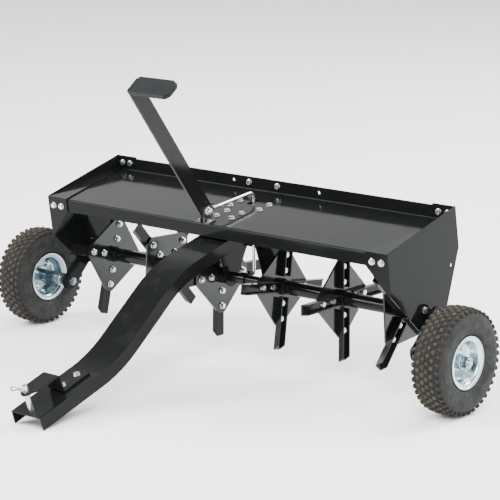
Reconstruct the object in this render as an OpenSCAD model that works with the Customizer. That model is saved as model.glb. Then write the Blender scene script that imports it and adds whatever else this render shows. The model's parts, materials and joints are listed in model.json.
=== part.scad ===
// Tow-behind plug aerator with a weight tray, six free-turning tine stars, a swinging
// wheel axle and a transport lever. Lengths are millimetres, X runs across the machine,
// -Y is the towing direction and Z is up. The machine rests on its wheels and hitch end.

/* [Stance] */
// Nose-down angle at rest
pitch = 8.5; // [8:0.1:9]

/* [Tray] */
// Width over both end panels
body_w = 1066; // [1040:2:1100]
// Depth of the deck, front to rear
tray_d = 260; // [254:1:268]
// Deck front edge, ahead of the wheel axle
tray_front = 52; // [48:1:56]
// Deck surface above the wheel axle
deck_h = 246; // [244:1:252]
// Depth of the front apron
apron_h = 32; // [26:1:34]
// Height of the rear wall
wall_h = 32; // [26:1:40]
// Thickness of the tray sheet
sheet = 2.5; // [2:0.1:3]

/* [End panels] */
// Thickness of the end panels
panel_t = 3; // [2.5:0.1:3.5]
// Width of the folded flanges
flange_w = 64; // [58:1:68]
// Front lower corner below the deck
nose_drop = 98; // [86:1:106]
// Bottom edge below the deck
foot_drop = 210; // [208:1:216]
// Bottom edge, front end behind the axle
foot_front = 38; // [34:1:42]
// Bottom edge, rear end behind the axle
foot_rear = 142; // [136:1:150]
// Widest point of the rear edge below the deck
bulge_drop = 64; // [56:1:76]
// Width of the corner tab at its rear end
tab_rear_w = 8; // [6:0.5:12]
// Hole near the rear edge
tie_hole_d = 9; // [7:0.5:11]

/* [Cross shaft] */
// Shaft diameter
shaft_d = 25; // [24:0.2:26]
// Shaft behind the wheel axle
shaft_back = 81; // [78:1:84]
// Shaft above the panels' bottom edge
shaft_rise = 24; // [22:1:26]
// Outer diameter of the spacer tubes
spacer_d = 34; // [32:0.5:36]
// Spread of the two bolts of an end bearing
bearing_spread = 44; // [44:0.5:48]

/* [Stars] */
// Radius of the tine tips
tip_r = 155; // [150:1:158]
// Corner radius of the diamond plates
plate_r = 106; // [102:1:110]
// Thickness of the diamond plates
plate_t = 5; // [4:0.5:6]
// Distance of the last star from the panel's outer face
star_end = 72; // [70:1:78]
// Distance of the first star from the middle
star_first = 96; // [94:1:100]
// Width of a tine
tine_w = 26; // [24:0.5:28]
// Depth of a tine's channel
tine_h = 14; // [12:0.5:15]
// Wall of a tine
tine_t = 3.5; // [3:0.1:4]
// Radius of the inner tine bolt
inner_bolt_r = 40; // [38:1:42]
// Radius of the outer tine bolt
outer_bolt_r = 78; // [74:1:82]

/* [Wheels] */
// Tyre outside diameter
wheel_d = 250; // [249:0.5:252]
// Tyre width
tyre_w = 84; // [82:1:86]
// Rim flange diameter
rim_d = 124; // [122:1:126]
// Clear gap between an end panel and its tyre
wheel_gap = 83; // [78:1:90]
// Axle bolt diameter
axle_d = 16; // [15:0.5:16.5]
// Wheel arm thickness
arm_t = 8; // [7:0.5:9]
// Wheel arm width
arm_w = 44; // [42:1:46]

/* [Tow bar] */
// Channel width
bar_w = 92; // [88:1:96]
// Channel depth
bar_h = 32; // [30:1:34]
// Channel wall
bar_t = 3; // [2.5:0.1:3.5]
// Front end ahead of the wheel axle
bar_reach = 700; // [690:2:710]
// Slope of the rear run
rear_slope = 6.5; // [6:0.1:7]
// Length of the front run
front_run = 256; // [254:1:266]
// Slope of the front run
front_slope = 9.3; // [9:0.1:10]
// Upper bend ahead of the axle
upper_bend = 211; // [206:1:216]
// Upper bend below the deck
upper_bend_drop = 59; // [58:0.5:61]
// Radius of the bends
bend_r = 320; // [240:5:340]

/* [Hitch] */
// Width of the hitch strap
strap_w = 46; // [42:1:50]
// Thickness of the hitch strap
strap_t = 5; // [4:0.5:6]
// Clear gap between the bar and the tongue
tongue_gap = 44; // [42:1:50]
// Riser behind the bar's front end
riser_back = 100; // [96:1:106]
// Strap length behind the riser
strap_run = 88; // [84:1:92]
// Hitch pin diameter
pin_d = 12.7; // [12:0.1:13]
// Hitch pin behind the bar's front end
pin_back = 18; // [17:0.5:22]
// Wire of the hairpin clip
clip_wire = 3; // [2.5:0.1:3.2]

/* [Lever] */
// Lever leaning forward at rest
lever_lean = 28.5; // [26:0.5:31]
// Lever length from its pivot to the bend
lever_len = 412; // [390:2:430]
// Lever strap width
lever_w = 44; // [42:1:46]
// Lever strap thickness
lever_t = 6; // [5.5:0.1:6.2]
// Lever plane left of the middle
lever_x = 20; // [19:0.5:21]
// Pivot above the deck
pivot_up = 25; // [24:0.5:27]
// Pivot behind the tray's front edge
pivot_back = 20; // [18:1:24]
// Pivot bolt diameter
pivot_d = 10; // [9:0.5:10]
// Length of the hand tab
tab_len = 122; // [110:1:130]
// Thickness of the vinyl grip
grip_t = 3; // [2.5:0.1:3.5]
// Lift rod diameter
rod_d = 8; // [7:0.5:8]
// Throw of the lift crank
crank_r = 22; // [22:0.5:23]
// Angle of the crank above level at rest
crank_angle = 12; // [10:1:14]

/* [Hidden] */
$fn = 64;
half = body_w / 2;
inner = half - panel_t;
front_y = -tray_front;
rear_y = front_y + tray_d;
deck_under = deck_h - sheet;
shaft_up = deck_h - foot_drop + shaft_rise;
wheel_r = wheel_d / 2;
gap = 0.3;
run = 0.05;
over = 1;

STARS = [1, 2, 3, 4, 5, 6];
SIDES = ["left", "right"];
SIDE_PARTS = ["bearing", "wheel_arm", "axle_bolt", "hub", "rim_inner", "rim_outer", "rim_bolts", "tyre"];
STAR_PARTS = ["star_plate", "star_tines", "star_bolts"];

// Fasteners: sizes as shares of the thread
head_share = 1.85;
head_h_share = 0.65;
nut_h_share = 0.8;
tail_share = 0.4;
axle_head_share = 1.4;
m6 = 6;
m8 = 8;

// End panels
nose_h = deck_h - nose_drop;
foot_h = deck_h - foot_drop;
bulge_h = deck_h - bulge_drop;
top_front = deck_h + gap + panel_t;
top_rear = deck_h + wall_h + panel_t + over;
rear_bulge = 2;
fold_r = 2.5;
toe_w = 6;
flange_bolt_in = [45, 19];
flange_bolt_x = [for (d = flange_bolt_in) half - d];
apron_bolt_down = 19;
apron_bolt_z = deck_h - apron_bolt_down;
wall_bolt_up = 18;
wall_bolt_z = deck_h + wall_bolt_up;
tie_hole_back = 179;
tie_hole_drop = 98;
tie_hole_up = deck_h - tie_hole_drop;

// Cross shaft and what it carries
shaft_stub = 24;
shaft_out = half + shaft_stub;
bearing_angle = -25;
bearing_plate = 8;
bearing_w = 46;
bearing_lift = 8;
bearing_room = 20;
hub_tube_d = 40;
hub_tube_len = 40;
hanger_x = 60;
hanger_t = 4;
hanger_setback = 60;
hanger_rear = rear_y - hanger_setback;
hanger_front = 24;
hanger_nose = 50;
hanger_mid_drop = 126;
hanger_mid_h = deck_h - hanger_mid_drop;
hanger_eye_r = 24;
star_pitch = (half - star_first - star_end) / 2;
star_x = [for (k = STARS) (k < 4 ? -1 : 1) * (star_first + star_pitch * (k < 4 ? 3 - k : k - 4))];
star_angles = [68, 34, 81, 74, 82, 41];
tine_count = 4;
tine_root = 26;
tip_angle = 40;
corner_cut = 11;

// Wheels
arm_clear = 15;
arm_in = half + arm_clear;
track = body_w + 2 * wheel_gap + tyre_w;
axle_collar = 20;
collar_d = 28;
hub_d = 34;
hub_in = track / 2 - arm_in - arm_t - axle_collar;
hub_out = 22;
barrel_r = 50;
rim_sheet = 2.5;
flange_in = 30.5;
flange_out = 33;
rim_bolt_r = 33;
rim_bolt_count = 4;
axle_out = track / 2 + hub_out;
axle_washer = 2;
shaft_bolt_len = 25;
valve_angle = -113;
valve_x = 16;
valve_hole_d = 15;
valve_d = 11;
valve_len = 16;
// Tyre wall as shares of its height above the rim flange and of its half width
tyre_wall_shares = [[0.1, 0.86], [0.25, 0.97], [0.42, 1], [0.65, 0.96], [0.88, 0.86], [1, 0.66]];

// Tow bar: corners of its top face in the (Y, Z) plane
low_y = -bar_reach + bar_h * sin(front_slope);
bar_front = [-bar_reach, bar_h * cos(front_slope) - (wheel_r + low_y * sin(pitch)) / cos(pitch)];
upper_bend_h = deck_h - upper_bend_drop;
bend_up = [-upper_bend, upper_bend_h];
bend_low = bar_front + front_run * [cos(front_slope), sin(front_slope)];
bar_rear_y = 68;
bar_rear = [bar_rear_y, bar_top(bar_rear_y)];
saddle_front = -34;
saddle_rear = 62;
saddle_w = 84;
bend_share = 0.9;
bar_bolt_x = 23;
bar_bolt_y = [8, 46];

function bar_top(y) = upper_bend_h + (y + upper_bend) * tan(rear_slope);
function unit(v) = v / norm(v);
function wrap(a) = (a + 540) % 360 - 180;
// The arc of radius r that rounds corner b between a and c: its reach along each side, its
// middle and its points
function corner_spread(a, b, c) = acos(unit(a - b) * unit(c - b)) / 2;
function corner_reach(a, b, c, r) = r / tan(corner_spread(a, b, c));
function corner_middle(a, b, c, r) = b + unit(unit(a - b) + unit(c - b)) * r / sin(corner_spread(a, b, c));
function round_corner(a, b, c, r, steps = 6) =
    let (m = corner_middle(a, b, c, r), n = corner_reach(a, b, c, r))
    let (s = b + unit(a - b) * n - m, e = b + unit(c - b) * n - m)
    let (from = atan2(s[1], s[0]), turn = wrap(atan2(e[1], e[0]) - from))
    [for (i = [0:steps]) m + r * [cos(from + turn * i / steps), sin(from + turn * i / steps)]];
// The bends are kept within the middle run and clear of the hitch strap
upper_spread = corner_spread(bar_rear, bend_up, bend_low);
lower_spread = corner_spread(bend_up, bend_low, bar_front);
middle_room = bend_share * norm(bend_up - bend_low) / (1 / tan(upper_spread) + 1 / tan(lower_spread));
strap_room = (front_run - riser_back - strap_run) * tan(lower_spread);
bend_used = min(bend_r, middle_room, strap_room);
bar_path = concat(
    [bar_rear],
    round_corner(bar_rear, bend_up, bend_low, bend_used),
    round_corner(bend_up, bend_low, bar_front, bend_used),
    [bar_front]
);
// The bar's path pushed down by a depth, with its ends drawn out by a length
function path_dir(p, i) = unit(p[min(i + 1, len(p) - 1)] - p[max(i - 1, 0)]);
function path_end(p, i) = i == 0 ? -1 : i == len(p) - 1 ? 1 : 0;
function path_down(p, depth, out = 0) =
    [for (i = [0:len(p) - 1]) let (d = path_dir(p, i), n = [d[1], -d[0]])
        p[i] - depth * n + out * path_end(p, i) * d];
function ribbon(p, top, bottom, out = 0) =
    concat(path_down(p, top, out), [for (i = [len(p) - 1:-1:0]) path_down(p, bottom, out)[i]]);

// Hitch, in a frame at the bar's front end with Y up along the bar
tongue_z = tongue_gap + strap_t;
tip_w = 26;
taper_back = 40;
strap_fold = 5;
pin_top = 16;
pin_low = 10;
strap_bolt_runs = [22, 70];
strap_bolt_y = [for (d = strap_bolt_runs) riser_back + d];
clip_up = 4;
clip_leg = 44;
clip_bow = 7;
clip_tail = 34;

// Lever, lift rod and bracket
pivot = [front_y + pivot_back, deck_h + pivot_up];
crank = crank_r * [cos(crank_angle), sin(crank_angle)];
lug_r = 9;
ear_t = 4;
ear_gap = 0.6;
ear_front = 17;
ear_rear = 9;
ear_top = 12;
ear_base = 3;
base_front = 18;
base_side = 22;
bracket_bolt_fwd = 6;
bracket_bolt_y = pivot[0] - bracket_bolt_fwd;
bracket_bolt_side = 13.2;
rod_side = 12;
rod_x = -lever_x + rod_side;
rod_out = 4;
hook_bend = 8;
swell = 0.2;
knee_bend = 16;
rod_slack = 1;
knee_back = 132;
knee_up = 25;
rod_knee = [knee_back, deck_h + knee_up];
slot_front = 108;
slot_rear = 143;
slot_w = 15;
collar_r = 16.5;
collar_len = 16;
crank_t = 6;
grip_round = 16;
tab_lip = 2;
hanger_tab = 30;
hanger_bolt_x = 46;
hanger_bolt_y = [84, 122];
see_hole_x = [-135, 135];
see_hole_d = 8;
wall_bolt_x = [-84, 6];

// Depth of the machine at rest, from the clip's outer leg to the rearmost tine tip
function level_y(p) = p[0] * cos(pitch) - p[1] * sin(pitch);
clip_lean = pitch + front_slope;
clip_y = (pin_back - 2 * clip_bow) * cos(clip_lean) - (tongue_z + clip_up) * sin(clip_lean);
front_end = level_y(bar_front) + clip_y - clip_wire / 2;
function tip_back(a, side) = side * tine_w / 2 * cos(a) - tip_r * sin(a);
tine_angles = [for (a = star_angles) for (i = [0:tine_count - 1]) a + pitch + 360 / tine_count * i];
rear_end = level_y([shaft_back, shaft_up]) + max([for (a = tine_angles) for (s = [-1, 1]) tip_back(a, s)]);
origin_y = -(front_end + rear_end) / 2;

// Placing helpers
module machine() {
    translate([0, origin_y, wheel_r]) rotate([pitch, 0, 0]) children();
}
module at(p, x = 0) {
    translate([x, p[0], p[1]]) children();
}
module both_sides() {
    children();
    mirror([1, 0, 0]) children();
}
module on_side(side) {
    mirror([side == "left" ? 1 : 0, 0, 0]) children();
}
// A (Y, Z) outline drawn out along X
module across(x0, x1) {
    translate([x0, 0, 0]) rotate([90, 0, 90]) linear_extrude(x1 - x0) children();
}
// An (X, Z) outline drawn out along Y
module facing(y0, y1) {
    translate([0, y1, 0]) rotate([90, 0, 0]) linear_extrude(y1 - y0) children();
}
module bar_x(x0, x1, d) {
    translate([x0, 0, 0]) rotate([0, 90, 0]) cylinder(d = d, h = x1 - x0);
}
module shaft_axis() {
    at([shaft_back, shaft_up]) children();
}
module hitch_frame() {
    machine() at(bar_front) rotate([front_slope, 0, 0]) children();
}
module lever_frame() {
    machine() at(pivot) rotate([lever_lean, 0, 0]) children();
}

// A hex bolt along Z: head above the origin, shank below, nut under the grip
module bolt(size, grip) {
    nut_h = size * nut_h_share;
    length = grip + nut_h + size * tail_share;
    cylinder(d = size * head_share, h = size * head_h_share, $fn = 6);
    translate([0, 0, -length]) cylinder(d = size, h = length + over);
    translate([0, 0, -grip - nut_h]) cylinder(d = size * head_share, h = nut_h, $fn = 6);
}
module bolt_hole(size, depth) {
    translate([0, 0, -depth]) cylinder(d = size + 2 * gap, h = 2 * depth);
}

// Places of the grouped fasteners: children stand with their heads along +Z
module apron_bolt_places() {
    both_sides() for (x = flange_bolt_x)
        translate([x, front_y - panel_t, apron_bolt_z]) rotate([90, 0, 0]) children();
}
module wall_flange_places() {
    both_sides() for (x = flange_bolt_x)
        translate([x, rear_y - sheet, wall_bolt_z]) rotate([90, 0, 0]) children();
}
module bar_bolt_places() {
    for (x = [-bar_bolt_x, bar_bolt_x]) for (y = bar_bolt_y) translate([x, y, deck_h]) children();
}
module hanger_bolt_places() {
    for (x = [-hanger_bolt_x, hanger_bolt_x]) for (y = hanger_bolt_y) translate([x, y, deck_h]) children();
}
module bracket_bolt_places() {
    for (x = [-bracket_bolt_side, bracket_bolt_side])
        translate([x - lever_x, bracket_bolt_y, deck_h + ear_base]) children();
}
module bearing_bolt_places() {
    shaft_axis() rotate([bearing_angle, 0, 0]) for (s = [-1, 1])
        translate([half, s * bearing_spread / 2, bearing_lift]) rotate([0, 90, 0]) children();
}
module strap_bolt_places() {
    hitch_frame() for (y = strap_bolt_y) translate([0, y, strap_t]) children();
}
module wall_bolt_places() {
    for (x = wall_bolt_x) translate([x, rear_y - sheet, wall_bolt_z]) rotate([90, 0, 0]) children();
}

// Sheet metal
module tray() {
    lip = [front_y, deck_h - apron_h];
    lip_in = [front_y + sheet, deck_h - apron_h];
    brim = [rear_y - sheet, deck_h + wall_h];
    brim_out = [rear_y, deck_h + wall_h];
    nose = [front_y, deck_h];
    nose_in = [front_y + sheet, deck_under];
    heel = [rear_y - sheet, deck_h];
    heel_out = [rear_y, deck_under];
    outline = concat(
        [lip], round_corner(lip, nose, heel, fold_r + sheet), round_corner(nose, heel, brim, fold_r), [brim],
        [brim_out], round_corner(brim_out, heel_out, nose_in, fold_r + sheet),
        round_corner(heel_out, nose_in, lip_in, fold_r), [lip_in]
    );
    color("#26292b") machine() difference() {
        across(-inner, inner) polygon(outline);
        translate([rod_x - slot_w / 2, slot_front, deck_under - over])
            cube([slot_w, slot_rear - slot_front, sheet + 2 * over]);
        apron_bolt_places() bolt_hole(m8, 2 * panel_t);
        wall_flange_places() bolt_hole(m8, 2 * panel_t);
        bar_bolt_places() bolt_hole(m8, 2 * panel_t);
        hanger_bolt_places() bolt_hole(m8, 2 * panel_t);
        bracket_bolt_places() bolt_hole(m6, 4 * panel_t);
        wall_bolt_places() bolt_hole(m8, 2 * panel_t);
        for (x = see_hole_x) translate([x, rear_y, wall_bolt_z]) rotate([90, 0, 0])
            translate([0, 0, -over]) cylinder(d = see_hole_d, h = sheet + 2 * over);
    }
}
module end_panel() {
    nose_y = front_y - panel_t;
    tail_y = rear_y + panel_t;
    side = [
        [nose_y, nose_h], [nose_y, top_front + gap], [tail_y, top_rear], [tail_y + rear_bulge, bulge_h],
        [foot_rear, foot_h], [foot_front, foot_h]
    ];
    tab_end = rear_y - sheet - gap;
    tab = [
        [half - flange_w, nose_y], [inner + over, nose_y],
        [inner + over, tab_end], [inner - tab_rear_w, tab_end]
    ];
    apron = [
        [half - toe_w, nose_h], [half, nose_h], [half, top_front - over],
        [half - flange_w, top_front - over], [half - flange_w, deck_h - apron_h]
    ];
    color("#1f2224") machine() difference() {
        union() {
            across(inner, half) polygon(side);
            translate([0, 0, top_front - panel_t]) linear_extrude(panel_t) polygon(tab);
            facing(nose_y, front_y) polygon(apron);
            translate([half - flange_w, rear_y, deck_h])
                cube([flange_w, panel_t, top_rear - deck_h - over]);
        }
        apron_bolt_places() bolt_hole(m8, 2 * panel_t);
        wall_flange_places() bolt_hole(m8, 3 * panel_t);
        bearing_bolt_places() bolt_hole(m8, 2 * panel_t);
        shaft_axis() bar_x(inner - over, half + over, shaft_d + 2 * over);
        at([tie_hole_back, tie_hole_up]) bar_x(inner - over, half + over, tie_hole_d);
    }
}
module end_panel_left() {
    on_side("left") end_panel();
}
module end_panel_right() {
    end_panel();
}
module bar_saddle() {
    outline = [
        [saddle_front, deck_under], [saddle_rear, deck_under],
        [saddle_rear, bar_top(saddle_rear)], [saddle_front, bar_top(saddle_front)]
    ];
    color("#1f2224") machine() difference() {
        across(-saddle_w / 2, saddle_w / 2) polygon(outline);
        bar_bolt_places() bolt_hole(m8, 3 * apron_h);
        bracket_bolt_places() bolt_hole(2 * m6, 4 * m6);
    }
}
module tow_bar() {
    color("#1b1e20") difference() {
        machine() across(-bar_w / 2, bar_w / 2) polygon(ribbon(bar_path, 0, bar_h));
        machine() across(-bar_w / 2 + bar_t, bar_w / 2 - bar_t)
            polygon(ribbon(bar_path, bar_t, bar_h + over, over));
        machine() bar_bolt_places() bolt_hole(m8, 3 * apron_h);
        strap_bolt_places() bolt_hole(m8, 3 * bar_t);
        hitch_frame() translate([0, pin_back, -pin_low]) cylinder(d = pin_d + 2 * run, h = 2 * pin_low);
    }
}
module center_hanger() {
    cheek = [
        [hanger_front, deck_under], [hanger_rear, deck_under], [hanger_rear, hanger_mid_h],
        [shaft_back + hanger_eye_r - over, shaft_up], [shaft_back - hanger_eye_r + over, shaft_up],
        [hanger_nose, hanger_mid_h]
    ];
    color("#1f2224") machine() difference() {
        union() {
            both_sides() {
                across(hanger_x, hanger_x + hanger_t) polygon(cheek);
                shaft_axis() bar_x(hanger_x, hanger_x + hanger_t, 2 * hanger_eye_r);
                translate([hanger_tab, bar_rear_y, deck_under - hanger_t])
                    cube([hanger_x - hanger_tab + hanger_t, hanger_rear - bar_rear_y, hanger_t]);
            }
            translate([-hanger_x, hanger_rear - hanger_t, hanger_mid_h])
                cube([2 * hanger_x, hanger_t, deck_under - hanger_mid_h]);
        }
        shaft_axis() bar_x(-hanger_x - 2 * hanger_t, hanger_x + 2 * hanger_t, shaft_d + 2 * run);
        hanger_bolt_places() bolt_hole(m8, 3 * hanger_t);
    }
}

// Hitch
module hitch_strap() {
    foot_len = riser_back + strap_run;
    tip_low = [taper_back, tongue_gap];
    tip_top = [taper_back, tongue_z];
    foot_low = [foot_len, 0];
    foot_top = [foot_len, strap_t];
    knee = [riser_back + strap_t, tongue_z];
    knee_in = [riser_back, tongue_gap];
    ankle = [riser_back, 0];
    ankle_in = [riser_back + strap_t, strap_t];
    side = concat(
        [tip_low], round_corner(tip_low, knee_in, ankle, strap_fold),
        round_corner(knee_in, ankle, foot_low, strap_fold + strap_t), [foot_low, foot_top],
        round_corner(foot_top, ankle_in, knee, strap_fold),
        round_corner(ankle_in, knee, tip_top, strap_fold + strap_t), [tip_top]
    );
    plan = [
        [strap_w / 2, taper_back], [-strap_w / 2, taper_back],
        [-tip_w / 2, pin_back], [tip_w / 2, pin_back]
    ];
    color("#1b1e20") difference() {
        hitch_frame() union() {
            across(-strap_w / 2, strap_w / 2) polygon(side);
            translate([0, 0, tongue_gap]) linear_extrude(strap_t) polygon(plan);
            translate([0, pin_back, tongue_gap]) cylinder(d = tip_w, h = strap_t);
        }
        strap_bolt_places() bolt_hole(m8, 2 * strap_t);
        hitch_frame() translate([0, pin_back, tongue_gap - over])
            cylinder(d = pin_d + 2 * run, h = strap_t + 2 * over);
    }
}
module hitch_pin() {
    color("#c9ced2") hitch_frame() translate([0, pin_back, -pin_low]) difference() {
        cylinder(d = pin_d, h = pin_low + tongue_z + pin_top);
        translate([0, 0, pin_low + tongue_z + clip_up]) bar_x(-pin_d, pin_d, clip_wire + 2 * run);
    }
}
module hitch_clip() {
    bow_x = -clip_tail;
    color("#d6dade") hitch_frame() translate([0, pin_back, tongue_z + clip_up]) {
        bar_x(bow_x, clip_leg + bow_x, clip_wire);
        translate([bow_x, -clip_bow, 0]) rotate([0, 0, 90])
            rotate_extrude(angle = 180) translate([clip_bow, 0]) circle(d = clip_wire, $fn = 24);
        translate([bow_x, -2 * clip_bow, 0]) bar_x(0, clip_tail - clip_bow, clip_wire);
    }
}

// Transport lever and lift rod
module lever_bracket() {
    ear = [
        [pivot[0] - ear_front, deck_h], [pivot[0] + ear_rear, deck_h],
        [pivot[0] + ear_rear, pivot[1]], [pivot[0] + ear_rear, pivot[1] + ear_top],
        [pivot[0] - ear_rear, pivot[1] + ear_top], [pivot[0] - ear_front, pivot[1]]
    ];
    near = lever_t / 2 + ear_gap;
    color("#16181a") machine() difference() {
        union() {
            translate([-lever_x, 0, 0]) both_sides() {
                across(near, near + ear_t) polygon(ear);
                translate([near, pivot[0] - base_front, deck_h])
                    cube([base_side - near, base_front + ear_rear, ear_base]);
            }
        }
        at(pivot) bar_x(-lever_x - base_side, -lever_x + base_side, pivot_d + 2 * run);
        bracket_bolt_places() bolt_hole(m6, 2 * ear_base);
    }
}
module lever_pivot_bolt() {
    reach = lever_t / 2 + ear_gap + ear_t;
    color("#8d9296") machine() at(pivot, -lever_x) translate([-reach, 0, 0]) rotate([0, -90, 0])
        bolt(pivot_d, 2 * reach);
}
module lever() {
    strap = lever_w - 2 * over;
    color("#2a2d2f") difference() {
        union() {
            lever_frame() translate([-lever_x, 0, 0]) {
                bar_x(-lever_t / 2 - gap, lever_t / 2 + gap, lever_w);
                translate([-lever_t / 2, -strap / 2, 0]) cube([lever_t, strap, lever_len]);
                translate([-lever_t / 2, -strap / 2, lever_len - lever_t]) cube([tab_len, strap, lever_t]);
            }
            machine() at(pivot, -lever_x) rotate([crank_angle, 0, 0]) {
                translate([-lever_t / 2, 0, -lug_r + over]) cube([lever_t, crank_r, 2 * lug_r - 2 * over]);
                translate([0, crank_r, 0]) bar_x(-lever_t / 2, lever_t / 2, 2 * lug_r);
            }
        }
        machine() at(pivot, -lever_x) bar_x(-lever_t, lever_t, pivot_d + 2 * run);
        machine() at(pivot + crank, -lever_x) bar_x(-lever_t, lever_t, rod_d + 2 * run);
    }
}
module lever_grip() {
    wide = lever_w + 2 * grip_t;
    long = tab_len - lever_t - tab_lip + grip_t;
    root = -lever_x + lever_t / 2 + tab_lip;
    color("#34383b") lever_frame() at([0, lever_len - lever_t / 2], root) difference() {
        hull() for (s = [-1, 1]) {
            translate([grip_t, s * (wide / 2 - grip_t), -lever_t / 2 - grip_t])
                cylinder(r = grip_t, h = lever_t + 2 * grip_t, $fn = 24);
            translate([long - grip_round, s * (wide / 2 - grip_round), -lever_t / 2 - grip_t])
                cylinder(r = grip_round, h = lever_t + 2 * grip_t, $fn = 32);
        }
        translate([-over, -lever_w / 2 - gap, -lever_t / 2 - gap])
            cube([tab_len - lever_t - tab_lip + over + gap, lever_w + 2 * gap, lever_t + 2 * gap]);
    }
}
// A straight run of the lift rod between two (Y, Z) points, reaching into the bends there
module rod_run(from, to) {
    d = to - from;
    at(from, rod_x) rotate([atan2(d[1], d[0]) - 90, 0, 0]) translate([0, 0, -over])
        cylinder(d = rod_d, h = norm(d) + 2 * over);
}
// A bend of the lift rod, turned about Z and a little stouter than the runs
module rod_bend(r, angle) {
    rotate_extrude(angle = angle) translate([r, 0]) circle(d = rod_d + 2 * swell, $fn = 32);
}
// The hook at a rod end, from along X round to the run that leads to a point
module rod_hook(p, to) {
    d = to - p;
    at(p) bar_x(-lever_x - lever_t / 2 - rod_out, rod_x - hook_bend + over, rod_d);
    at(p, rod_x) rotate([atan2(d[1], d[0]), 0, 0]) translate([-hook_bend, hook_bend, 0])
        rotate([0, 0, -90]) rod_bend(hook_bend, 90);
}
module lift_rod() {
    upper = pivot + crank;
    lower = [shaft_back, shaft_up] + crank;
    to_upper = unit(upper - rod_knee);
    to_lower = unit(lower - rod_knee);
    middle = corner_middle(upper, rod_knee, lower, knee_bend);
    near = corner_reach(upper, rod_knee, lower, knee_bend);
    start = rod_knee + near * to_lower - middle;
    color("#d2d6d9") machine() {
        rod_hook(upper, rod_knee);
        rod_run(upper - hook_bend * to_upper, rod_knee + near * to_upper);
        at(middle, rod_x) rotate([90, 0, 90]) rotate([0, 0, atan2(start[1], start[0])])
            rod_bend(knee_bend, 180 - acos(to_upper * to_lower));
        rod_run(rod_knee + near * to_lower, lower - hook_bend * to_lower);
        rod_hook(lower, rod_knee);
    }
}

// Cross shaft
module cross_shaft() {
    color("#3a3d40") machine() shaft_axis() difference() {
        bar_x(-shaft_out, shaft_out, shaft_d);
        both_sides() bar_x(shaft_out - shaft_bolt_len - over, shaft_out + over, m8 + 2 * gap);
    }
}
module shaft_crank() {
    color("#2a2d2f") machine() shaft_axis() translate([-lever_x, 0, 0]) difference() {
        union() {
            bar_x(-collar_len / 2, collar_len / 2, 2 * collar_r);
            rotate([crank_angle, 0, 0]) {
                translate([-crank_t / 2, 0, -lug_r]) cube([crank_t, crank_r, 2 * lug_r]);
                translate([0, crank_r, 0]) bar_x(-crank_t / 2, crank_t / 2, 2 * lug_r + 2 * over);
            }
        }
        bar_x(-collar_len, collar_len, shaft_d);
        at(crank) bar_x(-crank_t, crank_t, rod_d + 2 * rod_slack);
    }
}
module spacer(x0, x1) {
    difference() {
        bar_x(x0 + gap, x1 - gap, spacer_d);
        bar_x(x0, x1, shaft_d);
    }
}
module shaft_spacers() {
    tube_half = hub_tube_len / 2;
    color("#2f3235") machine() shaft_axis() both_sides() {
        spacer(hanger_x + hanger_t, star_x[3] - tube_half);
        for (k = [3, 4]) spacer(star_x[k] + tube_half, star_x[k + 1] - tube_half);
        spacer(star_x[5] + tube_half, inner - bearing_room);
    }
}
module bearing(side) {
    color("#3a3d40") machine() on_side(side) difference() {
        shaft_axis() rotate([bearing_angle, 0, 0]) {
            translate([inner - bearing_plate, -bearing_spread / 2, bearing_lift - bearing_w / 2 + over])
                cube([bearing_plate, bearing_spread, bearing_w - 2 * over]);
            for (s = [-1, 1]) translate([0, s * bearing_spread / 2, bearing_lift])
                bar_x(inner - bearing_plate, inner, bearing_w);
        }
        shaft_axis() bar_x(inner - 2 * bearing_plate, half, shaft_d + 2 * run);
        bearing_bolt_places() bolt_hole(m8, 4 * bearing_plate);
    }
}

// Tine stars
module star_frame(k) {
    machine() shaft_axis() translate([star_x[k - 1], 0, 0])
        mirror([k < 4 ? 1 : 0, 0, 0]) rotate([star_angles[k - 1], 0, 0]) children();
}
module each_tine() {
    for (i = [0:tine_count - 1]) rotate([360 / tine_count * i, 0, 0]) children();
}
module star_plate(k) {
    c = corner_cut;
    tip = plate_r - c;
    outline = [
        [tip, -c], [tip, c], [c, tip], [-c, tip],
        [-tip, c], [-tip, -c], [-c, -tip], [c, -tip]
    ];
    color("#2b2e31") star_frame(k) difference() {
        union() {
            across(-plate_t / 2, plate_t / 2) polygon(outline);
            bar_x(-hub_tube_len / 2, hub_tube_len / 2, hub_tube_d);
        }
        bar_x(-hub_tube_len, hub_tube_len, shaft_d + 2 * run);
        each_tine() for (r = [inner_bolt_r, outer_bolt_r]) translate([0, 0, r]) rotate([0, 90, 0])
            bolt_hole(m8, 2 * plate_t);
    }
}
module tine() {
    back = plate_t / 2;
    depth = tine_h + 2 * over;
    difference() {
        translate([back, -tine_w / 2, tine_root]) cube([tine_h, tine_w, tip_r - tine_root]);
        translate([back + tine_t, -tine_w / 2 + tine_t, 0]) cube([depth, tine_w - 2 * tine_t, tip_r + over]);
        for (r = [inner_bolt_r, outer_bolt_r]) translate([0, 0, r]) rotate([0, 90, 0])
            bolt_hole(m8, 2 * plate_t);
        bar_x(0, 2 * depth, hub_tube_d + 2 * gap);
        translate([back, -tine_w / 2, tip_r]) rotate([0, tip_angle, 0]) translate([-over, -over, 0])
            cube([3 * depth, tine_w + 2 * over, depth]);
    }
}
module star_tines(k) {
    color("#191b1d") star_frame(k) each_tine() tine();
}
module star_bolts(k) {
    head_x = plate_t / 2 + tine_t;
    color("#cfd3d6") star_frame(k) each_tine() for (r = [inner_bolt_r, outer_bolt_r])
        translate([head_x, 0, r]) rotate([0, 90, 0]) bolt(m8, plate_t + tine_t);
}

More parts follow.
